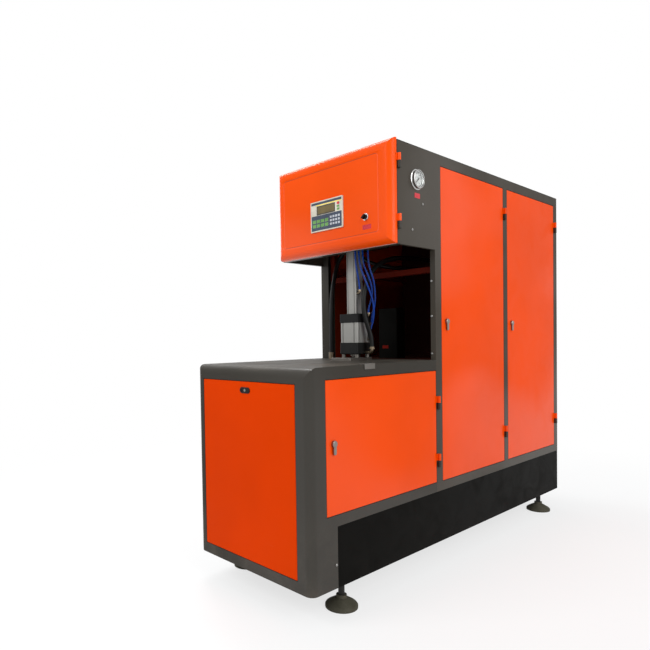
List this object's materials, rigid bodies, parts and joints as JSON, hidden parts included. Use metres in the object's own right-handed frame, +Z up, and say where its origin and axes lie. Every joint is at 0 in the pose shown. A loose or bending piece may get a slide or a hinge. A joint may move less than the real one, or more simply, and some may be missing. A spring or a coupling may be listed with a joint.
{
  "type": "blow moulding machine",
  "caption": "Semi-automatic blow moulding machine in orange and dark grey sheet metal, with a control head over a table and tall side doors",
  "frame": {"origin": "on the floor under the middle of the machine's body", "axes": "+X to the machine's right side with the doors and the gauge, +Y to its rear, +Z up; the operator panel faces -Y"},
  "size_m": [0.6732, 2.0712, 1.782],
  "materials": {
    "orange_paint": "semi-gloss oven-baked orange enamel, lightly dusty",
    "orange_panel": "semi-gloss oven-baked deep orange enamel",
    "grey_paint": "satin dark grey enamel",
    "head_grey": "satin warm grey enamel",
    "black_paint": "satin black enamel, dusty near the floor",
    "zinc": "bright zinc plated steel",
    "chrome": "polished chrome",
    "steel": "ground bare steel",
    "alloy": "anodised aluminium",
    "black_alloy": "black anodised aluminium",
    "rubber": "matt black rubber",
    "foam": "pale closed-cell foam",
    "blue_tube": "semi-gloss blue polyurethane",
    "panel_plastic": "pale panel with printed membrane",
    "black_plastic": "black moulded plastic",
    "white_plastic": "pale moulded plastic",
    "glass": "clear flat glass",
    "brass": "nickel plated and bare brass",
    "pad": "dark dusty coated casting with a rubber sole"
  },
  "bodies": {
    "machine": {"base_frame": "black_paint", "foot_pads": "pad", "foot_studs": "zinc", "front_cabinet_shell": "grey_paint", "right_side_frame": "grey_paint", "left_side_frame": "grey_paint", "roof_panel": "grey_paint", "rear_cover": "grey_paint", "head_housing": "head_grey", "kick_panel": "black_paint", "left_side_panel": "orange_paint", "hinge_sockets": "grey_paint", "gauge_case": "chrome", "gauge_glass": "glass", "stretch_cylinder": "alloy", "seal_cylinder": "alloy", "adapter_plate": "black_alloy", "blow_base": "black_alloy", "neck_plate": "chrome", "inner_deck": "black_paint", "partition": "black_paint", "bay_frame": "orange_paint", "valve_box": "black_paint", "air_manifold": "black_alloy", "valve_bank": "white_plastic", "electrical_board": "white_plastic", "hose_fittings": "brass", "panel_screws": "zinc", "edge_catch": "zinc", "tie_bars": "chrome", "clamp_end_front": "steel", "clamp_end_rear": "steel", "blow_hose": "rubber", "left_hose": "rubber", "return_hose": "rubber", "tube_seal_low": "blue_tube", "tube_seal_high": "blue_tube", "tube_adapter": "blue_tube", "tube_stretch": "blue_tube"},
    "front_panel": {"front_panel": "orange_panel", "front_lock_case": "black_plastic"},
    "front_lock_plug": {"front_lock_plug": "zinc"},
    "lower_side_door": {"lower_side_door": "orange_paint"},
    "tall_door_front": {"tall_door_front": "orange_paint"},
    "tall_door_rear": {"tall_door_rear": "orange_paint"},
    "lower_door_lock": {"lower_door_lock": "chrome"},
    "front_door_lock": {"front_door_lock": "chrome"},
    "rear_door_lock": {"rear_door_lock": "chrome"},
    "control_door": {"control_door": "orange_paint", "control_door_seal": "foam", "operator_panel": "panel_plastic", "selector_collar": "chrome"},
    "selector_knob": {"selector_knob": "black_plastic"},
    "gauge_needle": {"gauge_needle": "black_plastic"},
    "seal_nozzle": {"seal_nozzle": "chrome"},
    "stretch_rod": {"stretch_rod": "chrome"},
    "clamp_front": {"platen_front": "steel", "mould_front": "alloy"},
    "clamp_rear": {"platen_rear": "steel", "mould_rear": "alloy"}
  },
  "joints": [
    {"name": "control_door_hinge", "type": "hinge", "parent": "machine", "child": "control_door", "pos_m": [0.3325, -0.51, 1.576], "axis": [0, 0, 1], "range_deg": [0, 110]},
    {"name": "lower_side_door_hinge", "type": "hinge", "parent": "machine", "child": "lower_side_door", "pos_m": [0.3325, -0.238, 0.61], "axis": [0, 0, 1], "range_deg": [0, 120]},
    {"name": "tall_door_front_hinge", "type": "hinge", "parent": "machine", "child": "tall_door_front", "pos_m": [0.3325, 0.384, 1.049], "axis": [0, 0, 1], "range_deg": [0, 120]},
    {"name": "tall_door_rear_hinge", "type": "hinge", "parent": "machine", "child": "tall_door_rear", "pos_m": [0.3325, 0.996, 1.049], "axis": [0, 0, 1], "range_deg": [0, 120]},
    {"name": "front_panel_tilt", "type": "hinge", "parent": "machine", "child": "front_panel", "pos_m": [-0.01175, -1.026, 0.161], "axis": [1, 0, 0], "range_deg": [0, 60]},
    {"name": "lower_door_lock_turn", "type": "hinge", "parent": "lower_side_door", "child": "lower_door_lock", "pos_m": [0.325, -0.9125, 0.626], "axis": [1, 0, 0], "range_deg": [-90, 0]},
    {"name": "front_door_lock_turn", "type": "hinge", "parent": "tall_door_front", "child": "front_door_lock", "pos_m": [0.325, -0.16, 1.063], "axis": [1, 0, 0], "range_deg": [-90, 0]},
    {"name": "rear_door_lock_turn", "type": "hinge", "parent": "tall_door_rear", "child": "rear_door_lock", "pos_m": [0.325, 0.4585, 1.061], "axis": [1, 0, 0], "range_deg": [-90, 0]},
    {"name": "front_panel_lock_turn", "type": "hinge", "parent": "front_panel", "child": "front_lock_plug", "pos_m": [-0.011, -1.032, 0.805], "axis": [0, 1, 0], "range_deg": [-90, 0]},
    {"name": "selector_turn", "type": "hinge", "parent": "control_door", "child": "selector_knob", "pos_m": [0.1945, -0.551, 1.4895], "axis": [0, 1, 0], "range_deg": [-45, 45]},
    {"name": "gauge_pointer", "type": "hinge", "parent": "machine", "child": "gauge_needle", "pos_m": [0.33, -0.382, 1.639], "axis": [1, 0, 0], "range_deg": [-270, 0]},
    {"name": "seal_nozzle_stroke", "type": "slide", "parent": "machine", "child": "seal_nozzle", "axis": [0, 0, -1], "range_m": [0, 0.022]},
    {"name": "stretch_rod_stroke", "type": "slide", "parent": "machine", "child": "stretch_rod", "axis": [0, 0, -1], "range_m": [0, 0.46]},
    {"name": "clamp_front_stroke", "type": "slide", "parent": "machine", "child": "clamp_front", "axis": [0, -1, 0], "range_m": [0, 0.12]},
    {"name": "clamp_rear_stroke", "type": "slide", "parent": "machine", "child": "clamp_rear", "axis": [0, 1, 0], "range_m": [0, 0.12]}
  ],
  "couplings": [
    {"joint": "clamp_rear_stroke", "follows": "clamp_front_stroke", "ratio": 1}
  ]
}
